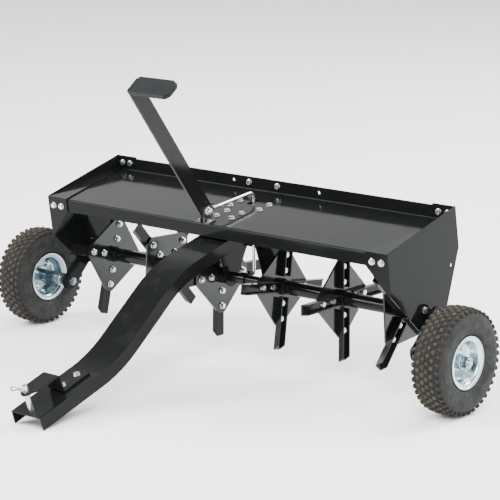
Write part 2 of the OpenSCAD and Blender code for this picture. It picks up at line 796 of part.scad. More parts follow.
// Wheels, drawn for the right side
module wheel_arm(side) {
    reach = norm([shaft_back, shaft_up]);
    lift = atan2(shaft_up, shaft_back);
    color("#24272a") machine() on_side(side) difference() {
        union() {
            shaft_axis() bar_x(arm_in, arm_in + arm_t, arm_w);
            bar_x(arm_in, arm_in + arm_t, arm_w);
            rotate([lift, 0, 0]) translate([arm_in, 0, -arm_w / 2 + over])
                cube([arm_t, reach, arm_w - 2 * over]);
        }
        shaft_axis() bar_x(arm_in - over, arm_in + arm_t + over, shaft_d);
        bar_x(arm_in - over, arm_in + arm_t + over, axle_d);
    }
}
module axle_bolt(side) {
    head = axle_d * head_h_share;
    collar_in = arm_in + arm_t;
    nut_in = axle_out + gap + axle_washer;
    color("#c4c9cd") machine() on_side(side) {
        translate([arm_in - head, 0, 0]) rotate([0, 90, 0])
            cylinder(d = axle_d * axle_head_share, h = head, $fn = 6);
        bar_x(arm_in - head, nut_in + axle_d, axle_d);
        bar_x(collar_in, track / 2 - hub_in - gap, collar_d);
        bar_x(axle_out + gap, nut_in, collar_d);
        translate([nut_in, 0, 0]) rotate([0, 90, 0])
            cylinder(d = axle_d * head_share, h = axle_d * nut_h_share, $fn = 6);
    }
}
module wheel_frame(side) {
    machine() on_side(side) translate([track / 2, 0, 0]) children();
}
// A (radius, offset) outline turned about the axle
module turned() {
    rotate([0, 90, 0]) rotate_extrude() children();
}
module rim_bolt_places() {
    for (i = [0:rim_bolt_count - 1]) rotate([360 / rim_bolt_count * (i + 1 / 2), 0, 0])
        translate([rim_sheet, 0, rim_bolt_r]) rotate([0, 90, 0]) children();
}
module hub(side) {
    color("#c9ced2") wheel_frame(side) difference() {
        bar_x(-hub_in, hub_out, hub_d);
        bar_x(-hub_in - over, hub_out + over, axle_d + 2 * run);
    }
}
module rim_half() {
    bore = hub_d / 2 + gap;
    outline = [
        [bore, 0], [barrel_r, 0], [barrel_r, flange_in], [rim_d / 2, flange_in], [rim_d / 2, flange_out],
        [barrel_r - rim_sheet, flange_out], [barrel_r - rim_sheet, rim_sheet], [bore, rim_sheet]
    ];
    difference() {
        turned() polygon(outline);
        rim_bolt_places() bolt_hole(m8, 3 * rim_sheet);
    }
}
module rim_outer(side) {
    color("#cdd3d8") wheel_frame(side) difference() {
        rim_half();
        rotate([valve_angle, 0, 0]) translate([valve_x, 0, barrel_r - 2 * rim_sheet])
            cylinder(d = valve_hole_d, h = 3 * rim_sheet);
    }
}
module rim_inner(side) {
    color("#cdd3d8") wheel_frame(side) mirror([1, 0, 0]) rim_half();
}
module rim_bolts(side) {
    color("#b9bec2") wheel_frame(side) rim_bolt_places() bolt(m8, 2 * rim_sheet);
}
module tyre(side) {
    seat = barrel_r + gap;
    bead = flange_in - gap;
    edge = rim_d / 2 + gap;
    wide = tyre_w / 2;
    rise = wheel_r - edge;
    wall = concat(
        [[seat, bead], [edge, bead]],
        [for (w = tyre_wall_shares) [edge + rise * w[0], wide * w[1]]]
    );
    flip = [for (i = [len(wall) - 1:-1:0]) [wall[i][0], -wall[i][1]]];
    color("#38332c") wheel_frame(side) {
        turned() polygon(concat(wall, flip));
        rotate([valve_angle, 0, 0]) translate([valve_x, 0, seat - valve_len])
            cylinder(d = valve_d, h = valve_len + over);
    }
}

// Fastener groups
module panel_bolts() {
    color("#d2d6d9") machine() {
        apron_bolt_places() bolt(m8, panel_t + sheet);
        wall_flange_places() bolt(m8, panel_t + sheet);
    }
}
module bar_bolts() {
    color("#c4c9cd") machine() for (x = [-bar_bolt_x, bar_bolt_x]) for (y = bar_bolt_y)
        translate([x, y, deck_h]) bolt(m8, deck_h - bar_top(y) + bar_t + over);
}
module hanger_bolts() {
    color("#c4c9cd") machine() hanger_bolt_places() bolt(m8, sheet + hanger_t);
}
module bearing_bolts() {
    color("#d2d6d9") machine() both_sides() bearing_bolt_places() bolt(m8, panel_t + bearing_plate);
}
module hitch_bolts() {
    color("#d2d6d9") strap_bolt_places() bolt(m8, strap_t + bar_t);
}
module bracket_bolts() {
    color("#c4c9cd") machine() bracket_bolt_places() bolt(m6, ear_base + sheet);
}
module wall_bolts() {
    color("#c4c9cd") machine() wall_bolt_places() bolt(m8, sheet);
}
// A screw and washer in each end of the cross shaft
module shaft_bolts() {
    color("#d2d6d9") machine() shaft_axis() both_sides() {
        bar_x(shaft_out, shaft_out + axle_washer, collar_d);
        bar_x(shaft_out - shaft_bolt_len, shaft_out + over, m8);
        translate([shaft_out + axle_washer, 0, 0]) rotate([0, 90, 0])
            cylinder(d = m8 * head_share, h = m8 * head_h_share, $fn = 6);
    }
}

tray();
end_panel_left();
end_panel_right();
tow_bar();
bar_saddle();
center_hanger();
hitch_strap();
hitch_pin();
hitch_clip();
lever_bracket();
lever_pivot_bolt();
lever();
lever_grip();
lift_rod();
cross_shaft();
shaft_crank();
shaft_spacers();
panel_bolts();
bar_bolts();
hanger_bolts();
bearing_bolts();
hitch_bolts();
bracket_bolts();
wall_bolts();
shaft_bolts();
for (side = SIDES) {
    bearing(side);
    wheel_arm(side);
    axle_bolt(side);
    hub(side);
    rim_inner(side);
    rim_outer(side);
    rim_bolts(side);
    tyre(side);
}
for (k = STARS) {
    star_plate(k);
    star_tines(k);
    star_bolts(k);
}
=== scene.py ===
import json
import math

import bmesh
import bpy
import numpy as np
from mathutils import Matrix, Vector

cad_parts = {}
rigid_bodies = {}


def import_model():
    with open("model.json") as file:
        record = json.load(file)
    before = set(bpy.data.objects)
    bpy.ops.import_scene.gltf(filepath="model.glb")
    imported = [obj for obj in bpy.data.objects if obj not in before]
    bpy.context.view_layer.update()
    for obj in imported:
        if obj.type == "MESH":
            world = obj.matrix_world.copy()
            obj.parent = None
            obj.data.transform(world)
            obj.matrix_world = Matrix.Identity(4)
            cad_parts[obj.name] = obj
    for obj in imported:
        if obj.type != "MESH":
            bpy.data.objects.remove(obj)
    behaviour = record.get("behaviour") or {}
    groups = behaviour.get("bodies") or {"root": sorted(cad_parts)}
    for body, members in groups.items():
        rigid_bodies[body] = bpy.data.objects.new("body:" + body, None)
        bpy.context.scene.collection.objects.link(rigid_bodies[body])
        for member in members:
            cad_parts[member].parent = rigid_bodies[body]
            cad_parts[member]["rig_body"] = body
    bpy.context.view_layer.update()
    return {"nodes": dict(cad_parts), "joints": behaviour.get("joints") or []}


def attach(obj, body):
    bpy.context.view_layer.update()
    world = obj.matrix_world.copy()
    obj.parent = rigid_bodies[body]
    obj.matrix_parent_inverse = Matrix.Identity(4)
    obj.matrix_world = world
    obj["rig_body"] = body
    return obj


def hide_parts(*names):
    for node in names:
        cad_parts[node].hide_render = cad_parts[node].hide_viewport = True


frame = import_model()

nodes = frame["nodes"]
joints = {j["name"]: j for j in frame["joints"]}
body_of = {name: node["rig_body"] for name, node in nodes.items()}

MM = 0.001
ALONG_X = Vector((1, 0, 0))
ALONG_Y = Vector((0, 1, 0))
ALONG_Z = Vector((0, 0, 1))

# The machine rests nose down, so its own level axes are turned about X
NOSE_DOWN = math.radians(8.5)
pitched = Matrix.Rotation(NOSE_DOWN, 3, "X")


# Paints


class Wire:
    """A socket of a paint. Sums written on wires add Math nodes."""

    def __init__(self, paint, socket):
        self.paint = paint
        self.socket = socket

    def _sum(self, operation, a, b):
        return self.paint.node("ShaderNodeMath", {"operation": operation}, {0: a, 1: b})

    def __add__(self, other):
        return self._sum("ADD", self, other)

    def __sub__(self, other):
        return self._sum("SUBTRACT", self, other)

    def __rsub__(self, other):
        return self._sum("SUBTRACT", other, self)

    def __mul__(self, other):
        return self._sum("MULTIPLY", self, other)

    __radd__ = __add__
    __rmul__ = __mul__


class Paint:
    """The nodes of a material, or of the studio's walls."""

    def __init__(self, owner):
        self.owner = owner
        owner.use_nodes = True
        self.tree = owner.node_tree
        self.tree.nodes.clear()

    def node(self, kind, settings=None, inputs=None, out=0):
        """Adds a node: first its settings, then the values or wires of its sockets."""
        made = self.tree.nodes.new(kind)
        for key, value in (settings or {}).items():
            if key == "stops":
                self.set_stops(made.color_ramp.elements, value)
            else:
                setattr(made, key, value)
        for key, value in (inputs or {}).items():
            if isinstance(value, Wire):
                self.tree.links.new(value.socket, made.inputs[key])
            else:
                made.inputs[key].default_value = value
        return Wire(self, made.outputs[out]) if made.outputs else None

    def set_stops(self, elements, stops):
        """Gives a colour ramp its stops of (place, colour), in rising order."""
        while len(elements) < len(stops):
            elements.new(0.5)
        for element, (place, colour) in zip(elements, stops):
            element.position = place
            element.color = (*colour, 1)

    def place(self):
        """The point on the surface, in the piece's own frame."""
        return self.node("ShaderNodeTexCoord", out="Object")

    def part(self, vector, axis):
        """One of a vector's X, Y and Z."""
        return self.node("ShaderNodeSeparateXYZ", None, {0: vector}, out=axis)

    def radius(self):
        """Distance from the X axis of the piece's own frame, in metres."""
        flat = self.node(
            "ShaderNodeVectorMath", {"operation": "MULTIPLY"}, {0: self.place(), 1: (0, 1, 1)},
        )
        return self.node("ShaderNodeVectorMath", {"operation": "LENGTH"}, {0: flat}, out="Value")

    def noise(self, scale, detail=3, rough=0.5):
        """A cloudy value about 0.5, finer where scale is higher."""
        return self.node(
            "ShaderNodeTexNoise", None,
            {"Vector": self.place(), "Scale": scale, "Detail": detail, "Roughness": rough},
        )

    def ease(self, value, low, high):
        """0 below low, 1 above high, and smooth between."""
        return self.node(
            "ShaderNodeMapRange", {"interpolation_type": "SMOOTHSTEP"},
            {"Value": value, "From Min": low, "From Max": high},
        )

    def blend(self, share, a, b):
        """Colour a where share is 0, b where it is 1."""
        first, second = [(*c, 1) if isinstance(c, tuple) else c for c in (a, b)]
        return self.node(
            "ShaderNodeMix", {"data_type": "RGBA"}, {0: share, 6: first, 7: second}, out=2,
        )

    def bump(self, height, depth, under=None):
        """A relief of that depth in millimetres, on top of another one if that is given."""
        inputs = {"Height": height, "Distance": depth * MM, "Strength": 1.0}
        if under:
            inputs["Normal"] = under
        return self.node("ShaderNodeBump", None, inputs)

    def surface(self, **sockets):
        """Closes a material with a shader that has these sockets, an underscore for each space."""
        spaced = {key.replace("_", " "): value for key, value in sockets.items()}
        shader = self.node("ShaderNodeBsdfPrincipled", None, spaced)
        self.node("ShaderNodeOutputMaterial", None, {"Surface": shader})
        return self.owner


GREY_DUST = (0.036, 0.034, 0.03)
COOL_GLOSS = (0.94, 1.0, 0.985, 1)
STRAW_ZINC = (0.72, 0.66, 0.46)
DULL_STRAW = (0.5, 0.47, 0.36)
WORN_STEEL = (0.3, 0.29, 0.27)


def new_paint(name):
    """A paint for a new material."""
    return Paint(bpy.data.materials.new(name))


def times(share, tone):
    """A colour made darker or lighter."""
    return tuple(share * c for c in tone)


def gloss_black(name, tone=(0.0055, 0.006, 0.0061), rough=0.1, dust=0.2, ior=1.18):
    """Black powder coat: a faint peel in the gloss, handling smears and a little settled dust."""
    p = new_paint(name)
    cloud = p.noise(7, 4, 0.6)
    smear = p.ease(p.noise(21, 5, 0.65), 0.5, 0.78)
    grit = p.ease(p.noise(420, 2, 0.6), 0.6, 0.75)
    facing_up = p.ease(p.part(p.node("ShaderNodeNewGeometry", out="Normal"), "Z"), 0.35, 0.95)
    settled = facing_up * smear * dust
    shade = p.blend(cloud, times(0.8, tone), times(1.25, tone))
    peel = p.bump(p.noise(260, 2, 0.5), 0.04)
    return p.surface(
        Base_Color=p.blend(settled, shade, GREY_DUST),
        Roughness=rough + 0.07 * smear + 0.05 * grit + 0.12 * settled,
        Normal=p.bump(p.noise(38, 2, 0.5), 0.12, under=peel),
        IOR=ior,
        Specular_Tint=COOL_GLOSS,
    )


def bright_zinc(name, tone, rough, tint):
    """Zinc plate: clouded, faintly blue, with patches of straw-coloured passivation."""
    p = new_paint(name)
    cloud = p.noise(45, 4, 0.6)
    straw = p.ease(p.noise(28, 3, 0.6), 0.52, 0.75) * tint
    scuff = p.ease(p.noise(310, 3, 0.7), 0.55, 0.8)
    shade = p.blend(cloud, times(0.72, tone), tone)
    return p.surface(
        Base_Color=p.blend(straw, shade, STRAW_ZINC),
        Metallic=0.95,
        Roughness=rough + 0.14 * cloud + 0.12 * scuff,
        Normal=p.bump(p.noise(150, 3, 0.6), 0.06),
    )


def rim_plate(name, deep, pale):
    """The wheel's zinc in its own frame: a bowl, clouded from deep to pale, and a lip painted paler as a
    highlight.
    """
    p = new_paint(name)
    # The lip mask and its paler colour are a painted highlight along the rolled edge
    lip = p.ease(p.radius(), 55.5 * MM, 59.5 * MM)
    cloud = p.noise(38, 4, 0.6)
    scuff = p.ease(p.noise(310, 3, 0.7), 0.55, 0.8)
    straw = p.ease(p.noise(30, 3, 0.6), 0.56, 0.78) * 0.3
    bowl = p.blend(straw, p.blend(cloud, deep, pale), DULL_STRAW)
    lip_highlight = p.blend(cloud, (0.42, 0.47, 0.49), (0.72, 0.74, 0.74))
    return p.surface(
        Base_Color=p.blend(lip, bowl, lip_highlight),
        Metallic=0.95,
        Roughness=0.12 + 0.12 * cloud + 0.1 * scuff + 0.1 * lip,
        Normal=p.bump(p.noise(120, 3, 0.6), 0.12),
    )


def dusty_rubber(name, crown, floor):
    """Tyre rubber in the wheel's own frame: dusty knobs, dark grooves, and slate walls with mud.

    crown and floor are the radii, in millimetres, where the knobs are all dust and all groove.
    """
    p = new_paint(name)
    radius = p.radius()
    knob = p.ease(radius, floor * MM, crown * MM)
    cloud = p.noise(32, 5, 0.65)
    speck = p.noise(240, 4, 0.7)
    mottle = p.ease(p.noise(44, 6, 0.72), 0.36, 0.64)
    slate = p.blend(mottle, (0.0052, 0.0062, 0.0066), (0.021, 0.0222, 0.0218))
    groove = p.blend(speck, (0.006, 0.0063, 0.0063), (0.012, 0.0117, 0.011))
    dust = p.blend(
        0.4 * speck + 0.6 * mottle, (0.012, 0.0103, 0.0078), (0.048, 0.0392, 0.027),
    )
    dry_mud = p.blend(speck, (0.011, 0.0092, 0.007), (0.031, 0.0252, 0.018))
    patches = p.ease(p.noise(19, 4, 0.7), 0.38, 0.58)
    muddy = p.ease(radius, 85 * MM, (floor - 6) * MM) * patches
    wall = p.blend(0.85 * muddy, slate, dry_mud)
    tread = p.ease(radius, (floor - 18) * MM, (floor - 2) * MM)
    return p.surface(
        Base_Color=p.blend(tread, wall, p.blend(knob, groove, dust)),
        Roughness=0.62 + 0.25 * cloud,
        Normal=p.bump(speck, 0.5, under=p.bump(cloud, 0.8)),
        Specular_IOR_Level=0.25,
    )


def dipped_vinyl(name):
    """Soft dipped vinyl with a fine leathery skin."""
    p = new_paint(name)
    leather = p.node(
        "ShaderNodeTexVoronoi", {"feature": "F1"}, {"Vector": p.place(), "Scale": 900},
    )
    cloud = p.noise(40, 4, 0.6)
    return p.surface(
        Base_Color=p.blend(cloud, (0.0055, 0.007, 0.0073), (0.011, 0.013, 0.0133)),
        Roughness=0.42 + 0.16 * cloud,
        Normal=p.bump(leather, 0.12, under=p.bump(p.noise(60, 2), 0.4)),
        Specular_IOR_Level=0.12,
    )


def bare_steel(name, tone, rough, metallic):
    """Oiled or blackened steel with a fine grain and worn patches."""
    p = new_paint(name)
    worn = p.ease(p.noise(60, 5, 0.7), 0.5, 0.8)
    cloud = p.noise(18, 3)
    shade = p.blend(cloud, times(0.75, tone), tone)
    return p.surface(
        Base_Color=p.blend(0.35 * worn, shade, WORN_STEEL),
        Metallic=metallic,
        Roughness=rough + 0.15 * cloud - 0.08 * worn,
        Normal=p.bump(p.noise(500, 2), 0.03),
    )


def pale_floor(name):
    """A matt white studio floor, very slightly uneven in tone."""
    p = new_paint(name)
    cloud = p.noise(1.3, 3)
    return p.surface(
        Base_Color=p.blend(cloud, (0.91, 0.91, 0.91), (0.94, 0.94, 0.94)),
        Roughness=0.8 + 0.1 * cloud,
    )


tray_black = gloss_black("tray_black", dust=0.12, ior=1.16)
frame_black = gloss_black("frame_black")
lever_black = gloss_black("lever_black", (0.005, 0.0053, 0.0049), 0.12, 0.1, 1.27)
star_black = gloss_black("star_black", (0.006, 0.0065, 0.0068), 0.14, 0.1, 1.4)
tine_black = gloss_black("tine_black", (0.005, 0.0055, 0.0057), 0.1, 0.05, 1.24)
shaft_black = gloss_black("shaft_black", (0.005, 0.0054, 0.0056), 0.13, 0.1, 1.26)
rim_zinc = rim_plate("rim_zinc", (0.38, 0.49, 0.53), (0.76, 0.84, 0.87))
# A darker copy of the rim zinc for the inner halves, which face the machine: painted shade
shaded_inner_zinc = rim_plate("shaded_inner_zinc", (0.12, 0.2, 0.23), (0.38, 0.47, 0.5))
bolt_zinc = bright_zinc("bolt_zinc", (0.62, 0.64, 0.65), 0.18, 0.12)
hub_zinc = bright_zinc("hub_zinc", (0.36, 0.46, 0.51), 0.1, 0.15)
bracket_steel = bare_steel("bracket_steel", (0.012, 0.0125, 0.013), 0.3, 0.1)
spring_steel = bare_steel("spring_steel", (0.2, 0.205, 0.205), 0.2, 0.9)
grip_vinyl = dipped_vinyl("grip_vinyl")


# Making pieces

# Points closer than this, in metres, are joined; faces this flat are joined; edges this sharp are eased
WELD = 2e-6
FLAT_ANGLE = math.radians(0.4)
EDGE_ANGLE = math.radians(28)


def piece(name, bm, finish, node, at=None, crease=32):
    """Makes an object of bm in the place of a CAD node, smooth but for edges over crease degrees."""
    bmesh.ops.recalc_face_normals(bm, faces=bm.faces)
    mesh = bpy.data.meshes.new(name)
    bm.to_mesh(mesh)
    bm.free()
    mesh.polygons.foreach_set("use_smooth", [True] * len(mesh.polygons))
    mesh.set_sharp_from_angle(angle=math.radians(crease))
    mesh.materials.append(finish)
    made = bpy.data.objects.new(name, mesh)
    bpy.context.scene.collection.objects.link(made)
    if at:
        made.matrix_world = at
    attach(made, body_of[node])
    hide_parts(node)
    return made


def welded(node):
    """A copy of a CAD node's mesh in a new bmesh, with its double points joined."""
    bm = bmesh.new()
    bm.from_mesh(nodes[node].data)
    bmesh.ops.remove_doubles(bm, verts=bm.verts, dist=WELD)
    return bm


def eased(node, finish, ease, fold=None, fold_ease=0.0, steps=2):
    """A copy of a CAD node with its edges eased, and those that fold picks out eased by more.

    The two eases are in millimetres, and steps is the number of faces round an edge.
    """
    bm = welded(node)
    bmesh.ops.dissolve_limit(
        bm, angle_limit=FLAT_ANGLE, use_dissolve_boundaries=False, verts=bm.verts, edges=bm.edges,
    )
    most = max(ease, fold_ease)
    weight = bm.edges.layers.float.new("bevel_weight_edge")
    for edge in bm.edges:
        if len(edge.link_faces) == 2 and edge.calc_face_angle(0) > EDGE_ANGLE:
            edge[weight] = (fold_ease if fold and fold(edge) else ease) / most
    made = piece(node + "_eased", bm, finish, node)
    bevel = made.modifiers.new("ease", "BEVEL")
    bevel.limit_method = "WEIGHT"
    bevel.width = most * MM
    bevel.segments = steps
    flat = made.modifiers.new("flat", "WEIGHTED_NORMAL")
    flat.keep_sharp = True


def ring(bm, points):
    """New vertices at these points."""
    return [bm.verts.new(p) for p in points]


def skin(bm, rings):
    """Quads between rings of vertices, each ring closed."""
    for a, b in zip(rings, rings[1:]):
        for i in range(len(a)):
            j = (i + 1) % len(a)
            bm.faces.new((a[i], a[j], b[j], b[i]))


def capped(bm, rings):
    """A skin over rings of vertices, with a face at each end."""
    skin(bm, rings)
    bm.faces.new(rings[0])
    bm.faces.new(rings[-1])


def turn_angles(count):
    """Even steps round a full turn."""
    return [2 * math.pi * i / count for i in range(count)]


def circle(place, radius, height, count):
    """Points on a circle round the Z axis of a frame, at a height."""
    return [
        place @ Vector((radius * math.cos(a), radius * math.sin(a), height))
        for a in turn_angles(count)
    ]


def axes_at(x, y, z, middle):
    """A frame with these three axes, at a point."""
    place = Matrix((x, y, z)).transposed().to_4x4()
    place.translation = middle
    return place


def turned(bm, outline, count):
    """A closed outline of (offset along X, radius), in millimetres, turned about X."""
    rings = []
    for angle in turn_angles(count):
        c, s = math.cos(angle), math.sin(angle)
        rings.append(ring(bm, [(x * MM, r * c * MM, r * s * MM) for x, r in outline]))
    skin(bm, rings + rings[:1])


def smooth_path(corners, steps):
    """Corners of (x, y, radius) rounded into arcs; the two ends stay."""
    path = [Vector(corners[0][:2])]
    for before, here, after in zip(corners, corners[1:], corners[2:]):
        corner, radius = Vector(here[:2]), here[2]
        back_way = (Vector(before[:2]) - corner).normalized()
        next_way = (Vector(after[:2]) - corner).normalized()
        half = math.acos(max(-1, min(1, back_way.dot(next_way)))) / 2
        reach = radius / math.tan(half)
        middle = corner + (back_way + next_way).normalized() * radius / math.sin(half)
        start = corner + back_way * reach - middle
        end = corner + next_way * reach - middle
        turn = start.angle_signed(end)
        for i in range(steps + 1):
            path.append(middle + Matrix.Rotation(-turn * i / steps, 2) @ start)
    return path + [Vector(corners[-1][:2])]


def sheet_outline(path, thick):
    """The closed outline of a sheet of that thickness that follows a path on its left."""
    other_side = []
    for i, p in enumerate(path):
        d = (path[min(i + 1, len(path) - 1)] - path[max(i - 1, 0)]).normalized()
        other_side.append(p + thick * Vector((-d.y, d.x)))
    return [tuple(p) for p in path] + [tuple(p) for p in reversed(other_side)]


def smooth_way(points, steps=4):
    """A curve through all the points."""
    way = []
    ends = [2 * points[0] - points[1], *points, 2 * points[-1] - points[-2]]
    for a, b, c, d in zip(ends, ends[1:], ends[2:], ends[3:]):
        for i in range(steps):
            t = i / steps
            linear = 0.5 * (c - a)
            square = a - 2.5 * b + 2 * c - 0.5 * d
            cubic = 1.5 * (b - c) + 0.5 * (d - a)
            way.append(b + t * linear + t ** 2 * square + t ** 3 * cubic)
    return way + [points[-1]]


# Fasteners

SEGMENTS = 24
# Crests of a thread: from one to the next, and how many show at a bolt's end
PITCH = 1.25 * MM
THREADS = 7
CHAMFER = math.tan(math.radians(30))
FLANGE_SHARE = 1.06
# Points of one flat end lie within these of each other, in metres
SAME_LEVEL = 1e-5
NEAR_LEVEL = 2e-5


def hex_reach(angle, flat):
    """Distance from the middle to the side of a hexagon with a corner at angle 0."""
    sector = math.pi / 3
    return flat / math.cos(angle % sector - sector / 2)


def hex_block(bm, place, low, high, corner):
    """A hex head or nut from low to high along Z, with a flange at low and a chamfer at high."""
    flat = corner * math.cos(math.pi / 6)
    flange = FLANGE_SHARE * corner
    top = 0.93 * flat
    tall = high - low
    lip = 0.16 * tall
    slope = math.copysign(CHAMFER, tall)
    angles = turn_angles(SEGMENTS)
    profiles = []
    for angle in angles:
        side = hex_reach(angle, flat)
        profiles.append([
            (flange, low), (flange, low + 0.7 * lip), (side, low + 1.6 * lip),
            (side, high - slope * (side - top)), (top, high), (0.72 * top, high - 0.04 * tall),
        ])
    rings = []
    for storey in zip(*profiles):
        rings.append(ring(bm, [
            place @ Vector((r * math.cos(a), r * math.sin(a), z)) for a, (r, z) in zip(angles, storey)
        ]))
    capped(bm, rings)


def threaded_rod(bm, place, low, high, radius):
    """A shank from low to high with thread crests near its low end."""
    profile = [(0.78 * radius, low), (0.9 * radius, low + 0.35 * PITCH)]
    z = low + 0.6 * PITCH
    while z < min(high, low + THREADS * PITCH):
        profile += [(radius, z), (radius, z + 0.15 * PITCH), (0.88 * radius, z + 0.6 * PITCH)]
        z += PITCH
    profile += [(radius, z), (radius, high)]
    capped(bm, [ring(bm, circle(place, r, height, SEGMENTS)) for r, height in profile])


def islands(node):
    """The separate solids of a node, each as an array of its points."""
    bm = welded(node)
    bm.verts.index_update()
    seen = set()
    found = []
    for first in bm.verts:
        if first.index in seen:
            continue
        seen.add(first.index)
        group = [first]
        # The group grows while it is walked
        for vert in group:
            for edge in vert.link_edges:
                other = edge.other_vert(vert)
                if other.index not in seen:
                    seen.add(other.index)
                    group.append(other)
        found.append(np.array([v.co for v in group]))
    bm.free()
    return sorted(found, key=lambda p: tuple(p.mean(0).round(5)))


def spread(points):
    """The longest side of the box round some points."""
    return np.ptp(points, axis=0).max()


def flattened(points, way):
    """Points moved along a way onto the plane through the origin."""
    return points - np.outer(points @ way, way)


def bolts(node, axis):
    """Hex bolts with flanges, nuts and threads in the places of a node's plain ones."""
    bm = bmesh.new()
    for points in islands(node):
        heights = points @ np.array(axis)
        at_top = points[heights > heights.max() - SAME_LEVEL]
        at_bottom = points[heights < heights.min() + SAME_LEVEL]
        # The head is the wider end
        headward = np.array(axis) * (-1 if spread(at_top) < spread(at_bottom) else 1)
        along = points @ headward
        tail, nut_out, nut_in, *_, seat, crown = np.unique(along.round(5))
        shank = flattened(points[along < tail + NEAR_LEVEL], headward)
        middle = shank.mean(0)
        radius = np.linalg.norm(shank - middle, axis=1).max()
        head = flattened(points[along > crown - NEAR_LEVEL], headward) - middle
        reaches = np.linalg.norm(head, axis=1)
        corner = reaches.max()
        corner_way = head[reaches.argmax()] / corner
        ways = (corner_way, np.cross(headward, corner_way), headward)
        place = axes_at(*[Vector(way) for way in ways], Vector(middle))
        hex_block(bm, place, seat, crown, corner)
        hex_block(bm, place, nut_in, nut_out, corner)
        threaded_rod(bm, place, tail, seat + 0.1 * MM, radius)
    piece(node + "_hex", bm, bolt_zinc, node)


up = tuple(pitched @ ALONG_Z)
back = tuple(pitched @ ALONG_Y)
hitch_up = tuple(joints["hitch_pin_pull"]["axis"])
for node in ("panel_bolts", "wall_bolts"):
    bolts(node, back)
for node in ("bar_bolts", "hanger_bolts", "bracket_bolts"):
    bolts(node, up)
bolts("hitch_bolts", hitch_up)
for node in ("bearing_bolts", "rim_bolts_left", "rim_bolts_right", "lever_pivot_bolt"):
    bolts(node, tuple(ALONG_X))
for number in range(1, 7):
    bolts(f"star_bolts_{number}", tuple(ALONG_X))


# Wheels

# Radii of the bare carcass and of the knobs' dusty tops, and the knobs in one row
CARCASS_R = 119.6
DUSTY_R = 121.5
KNOBS = 42
TYRE_STEPS = 126
RIM_STEPS = 96
RIM_SHEET = 2.2

# Half of the tyre from bead to crown: offset along X, radius, rounding of the corner
TYRE_HALF = [
    (30.0, 50.4, 0), (30.2, 62.4, 1), (35.0, 66.5, 3), (37.2, 70.0, 2), (38.4, 71.2, 0.6),
    (39.2, 74.5, 2), (41.2, 84.0, 14), (41.6, 92.5, 10), (41.0, 99.0, 5), (40.2, 100.6, 0.6),
    (38.6, 107.5, 10), (34.0, 113.5, 7), (26.0, 117.6, 16), (13.0, 119.2, 40), (0.0, CARCASS_R, 0),
]
# Rows of knobs: offset along X, radius of the foot, tilt in degrees, height, half width, half length
KNOB_ROWS = [
    (5.6, 119.0, 3, 5.4, 4.9, 5.6), (17.6, 118.2, 10, 5.6, 5.0, 5.6), (30.4, 113.6, 42, 7.6, 5.2, 4.9),
]
# A knob from above, like a broad arrow: along the tread, across the tread
KNOB_SHAPE = [(-1.0, -0.75), (0.2, -1.0), (1.15, -0.1), (0.25, 0.95), (-0.95, 0.85), (-0.7, 0.05)]

# The valve stem: its turn from the top of the wheel, its offset, and its (reach, radius) inwards
VALVE_TURN = math.radians(113)
VALVE_OFFSET = 16
VALVE_STEPS = 20
VALVE_STEM = [
    (49.0, 7.4), (44.9, 7.4), (44.0, 6.4), (43.2, 5.2), (38.0, 4.6), (37.2, 4.0), (34.2, 4.0), (33.8, 3.2),
]
# A rim half from hub to lip: offset along X, radius, rounding of the corner
RIM_PATH = [
    (0.2, 17.4, 0), (0.2, 22.0, 2), (1.4, 23.6, 1.5), (0.2, 25.4, 2), (0.2, 41.5, 3), (4.6, 46.4, 5),
    (27.6, 49.8, 4), (30.4, 53.0, 4), (30.7, 59.6, 3), (33.2, 61.9, 1.6), (35.0, 60.4, 1.4),
    (34.4, 58.8, 0),
]


def knob(bm, row, turn, flip):
    """One tread knob, which narrows to its top. flip is 1 or -1 for the two halves of the tread."""
    offset, foot, tilt_degrees, tall, wide, long = row
    tilt = flip * math.radians(tilt_degrees)
    rings = []
    for height, share in ((-1.6, 1.32), (tall - 1.8, 0.94), (tall, 0.58)):
        points = []
        for a, b in KNOB_SHAPE:
            across, around = wide * b * share * flip, long * a * share
            x = flip * offset + across * math.cos(tilt) + height * math.sin(tilt)
            r = foot - across * math.sin(tilt) + height * math.cos(tilt)
            angle = turn + around / foot
            points.append((x * MM, r * math.cos(angle) * MM, r * math.sin(angle) * MM))
        rings.append(ring(bm, points))
    capped(bm, rings)


def valve(bm, side):
    """The rubber valve stem that comes through the bowl of the rim, with its grommet."""
    out = Vector((0, math.sin(VALVE_TURN), math.cos(VALVE_TURN)))
    middle = VALVE_OFFSET * side * ALONG_X
    place = Matrix.Scale(MM, 4) @ axes_at(ALONG_X, out.cross(ALONG_X), out, middle)
    capped(bm, [ring(bm, circle(place, radius, reach, VALVE_STEPS)) for reach, radius in VALVE_STEM])


def tyre(name, side, at):
    """A knobbly tyre: a round carcass with ribbed walls and six staggered rows of knobs."""
    bm = bmesh.new()
    half = [tuple(p) for p in smooth_path(TYRE_HALF, 3)]
    outline = half + [(-x, r) for x, r in reversed(half[:-1])]
    turned(bm, [(side * x, r) for x, r in outline], TYRE_STEPS)
    for number, row in enumerate(KNOB_ROWS):
        for flip in (1, -1):
            shift = 0.5 * ((number + (flip < 0)) % 2)
            for k in range(KNOBS):
                knob(bm, row, 2 * math.pi * (k + shift) / KNOBS, flip)
    valve(bm, side)
    piece(f"tyre_{name}_knobbly", bm, rubber, "tyre_" + name, at, crease=38)


def rim_half(node, way, finish, at):
    """A pressed rim half: flat disc, raised ring, bowl and lip. way is the sign of X that it faces."""
    outline = sheet_outline(smooth_path(RIM_PATH, 4), -RIM_SHEET)
    bm = bmesh.new()
    turned(bm, [(way * x, r) for x, r in outline], RIM_STEPS)
    piece(node + "_pressed", bm, finish, node, at, crease=40)


